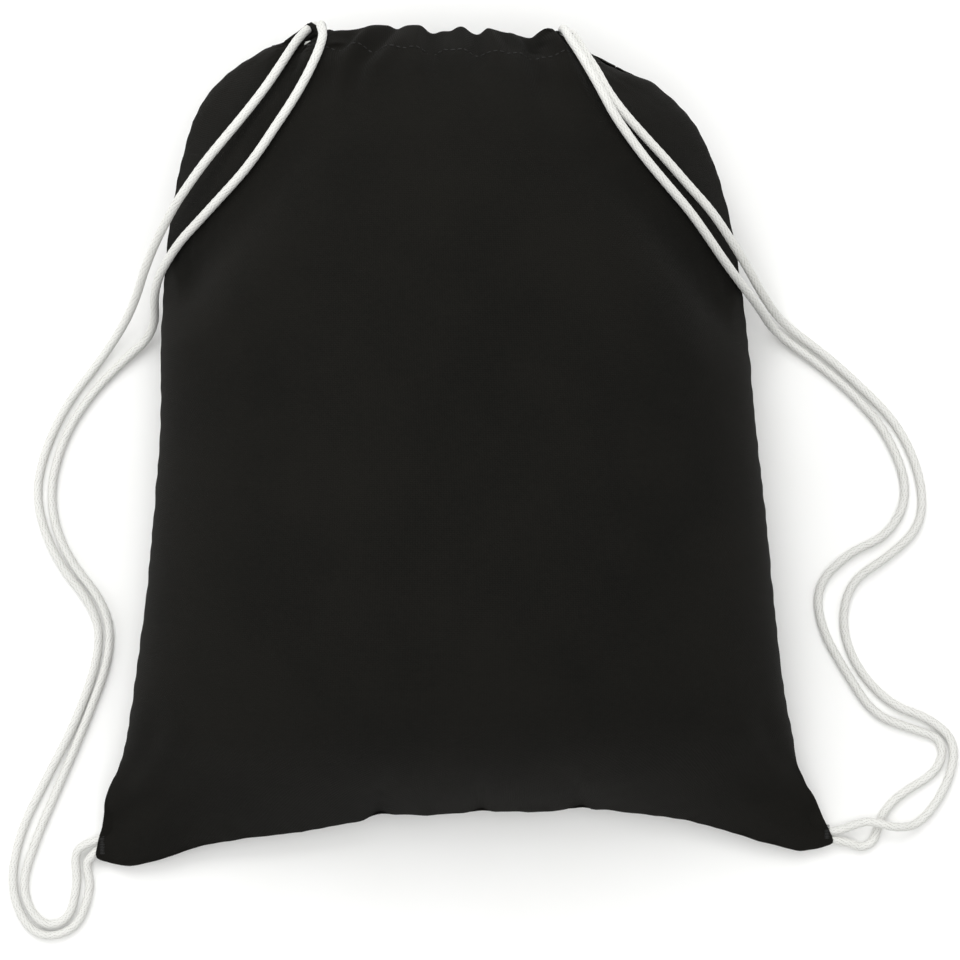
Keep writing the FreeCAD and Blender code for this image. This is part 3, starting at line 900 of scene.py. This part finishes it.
def makeStitching(front, material):
    # a row of stitches just above the line where the hem starts
    mesh = cloths[front]
    flows = mesh.attributes["flow"].data
    row = (round(bag["rows"] * stitchRow) + 1) / bag["rows"]
    picked = sorted((f.vector[0], v.index) for v, f in zip(mesh.vertices, flows)
                    if abs(f.vector[1] - row) < 0.001)
    normals = mesh.vertex_normals
    places = [mesh.vertices[i].co for u, i in picked]
    lengths = sum((b - a).length for a, b in zip(places, places[1:]))
    count = int(lengths / (stitch["pitch"] * mm))
    bm = bmesh.new()
    reach = 0.0
    k = 1
    for (a, b), (u, i) in zip(zip(places, places[1:]), picked):
        while k < count and reach + (b - a).length > k * stitch["pitch"] * mm:
            up = normals[i].vector
            centre = a.lerp(b, (k * stitch["pitch"] * mm - reach) / (b - a).length)
            addStitch(bm, centre + up * 0.1 * mm, (b - a).normalized(), up, stitch["length"])
            k += 1
        reach += (b - a).length
    word = "front" if front else "back"
    made = bpy.data.meshes.new("stitches")
    bm.to_mesh(made)
    bm.free()
    addPiece(word.title() + "HemStitching", made, material, "black_thread",
             word + "_hem_stitching")


def makeBartack(side, material):
    # dense stitches across the seam where the ends of a cord are caught in the corner
    mesh = cloths[True]
    tree = BVHTree.FromPolygons([v.co for v in mesh.vertices], [p.vertices for p in mesh.polygons])
    corner = outline["left" if side < 0 else "right"][0]
    bm = bmesh.new()
    for k in range(stitch["tackCount"]):
        x = corner.x - side * stitch["tackInset"] * mm
        y = corner.y + (stitch["tackStart"] + k * stitch["tackPitch"]) * mm
        hit = tree.ray_cast(Vector((x, y, 0.2)), Vector((0, 0, -1)))
        if hit[0] is None:
            continue
        up = hit[1] if hit[1].z > 0 else -hit[1]
        along = (Vector((1, 0, 0)) - up * up.x).normalized()
        addStitch(bm, hit[0] + up * 0.15 * mm, along, up, stitch["tackLength"])
    made = bpy.data.meshes.new("bartack")
    bm.to_mesh(made)
    bm.free()
    word = "left" if side < 0 else "right"
    addPiece(word.title() + "CornerBartack", made, material, "black_thread",
             word + "_corner_bartack")


def makeSeam(name, node, chooser, inward):
    # turned-in edges of both panels, bound together inside the bag
    mesh = cloths[True]
    flows = mesh.attributes["flow"].data
    picked = sorted((f.vector[0] + f.vector[1], v.index) for v, f in zip(mesh.vertices, flows)
                    if chooser(f.vector[0], f.vector[1]))
    edge = [mesh.vertices[i].co.copy() for key, i in picked]
    bm = bmesh.new()
    bmesh.ops.create_grid(bm, x_segments=len(edge) - 1, y_segments=3, size=0.5)
    flow = bm.verts.layers.float_vector.new("flow")
    for v in bm.verts:
        i = round((v.co.x + 0.5) * (len(edge) - 1))
        deep = v.co.y + 0.5
        wobble = 0.5 * mm * math.sin(i * 0.9) * deep
        v[flow] = (i * 0.01, deep * 0.02, 0)
        v.co = edge[i] + inward * (0.8 + 8.2 * deep) * mm + Vector((0, 0, wobble))
    made = bpy.data.meshes.new(name)
    bm.to_mesh(made)
    bm.free()
    clothUv(made)
    addPiece(name, made, blackCotton, "black_cotton", node, thickness=1.4, offset=0)


sewingThread = threadMaterial()
for front in (True, False):
    makeStitching(front, sewingThread)
for side in (-1, 1):
    makeBartack(side, sewingThread)
makeSeam("LeftSideSeam", "left_side_seam",
         lambda u, v: u < -0.999 and 0.03 < v < stitchRow - 0.01, Vector((1, -0.12, 0)))
makeSeam("RightSideSeam", "right_side_seam",
         lambda u, v: u > 0.999 and 0.03 < v < stitchRow - 0.01, Vector((-1, -0.12, 0)))
makeSeam("BottomSeam", "bottom_seam", lambda u, v: v < 0.001 and abs(u) < 0.94, Vector((0, 1, 0)))
print("seams are sewn")


studio = dict(
    floor="#f4f4f2",
    floorMottle="#f7f7f6",
    floorSize=6.0,       # metres, like the lights below
    softboxes=[
        # name, place, width and height, watts
        ("topSoftbox", (-0.3, 1.6, 1.9), (1.6, 1.6), 34),
        ("overhead", (0.2, -0.1, 2.6), (2.2, 2.2), 26),
        ("leftFill", (-2.0, -0.6, 1.2), (1.4, 1.4), 12),
    ],
    surround="#ffffff",
    surroundStrength=0.55,
)


def floorMaterial():
    # Matt painted board: even and pale, with the faint mottling of a roller coat.
    material = bpy.data.materials.new("mattPaintedBoard")
    material.use_nodes = True
    shader = material.node_tree.nodes["Principled BSDF"]
    shader.inputs["Roughness"].default_value = 0.9
    place = addNode(material, "ShaderNodeTexCoord")
    mottle = addNode(material, "ShaderNodeTexNoise", {"Scale": 30, "Detail": 4},
                     {"Vector": place.outputs["Object"]})
    ramp = addNode(material, "ShaderNodeValToRGB", links={"Fac": mottle.outputs["Fac"]})
    ramp.color_ramp.elements[0].color = linearColour(studio["floor"])
    ramp.color_ramp.elements[1].color = linearColour(studio["floorMottle"])
    material.node_tree.links.new(ramp.outputs["Color"], shader.inputs["Base Color"])
    return material


def makeStudio():
    # the floor, three softboxes and a pale surround
    bm = bmesh.new()
    bmesh.ops.create_grid(bm, x_segments=1, y_segments=1, size=studio["floorSize"] / 2)
    mesh = bpy.data.meshes.new("floor")
    bm.to_mesh(mesh)
    bm.free()
    mesh.materials.append(floorMaterial())
    floor = bpy.data.objects.new("floor", mesh)
    bpy.context.scene.collection.objects.link(floor)
    for name, place, size, watts in studio["softboxes"]:
        data = bpy.data.lights.new(name, "AREA")
        data.shape = "RECTANGLE"
        data.size, data.size_y = size
        data.energy = watts
        lamp = bpy.data.objects.new(name, data)
        lamp.location = place
        lamp.rotation_euler = (-Vector(place)).to_track_quat("-Z", "Y").to_euler()
        bpy.context.scene.collection.objects.link(lamp)
    world = bpy.data.worlds.new("surround")
    world.use_nodes = True
    background = world.node_tree.nodes["Background"]
    background.inputs["Color"].default_value = linearColour(studio["surround"])
    background.inputs["Strength"].default_value = studio["surroundStrength"]
    bpy.context.scene.world = world
    bpy.context.scene.view_settings.view_transform = "Standard"


makeStudio()
print("studio is lit")
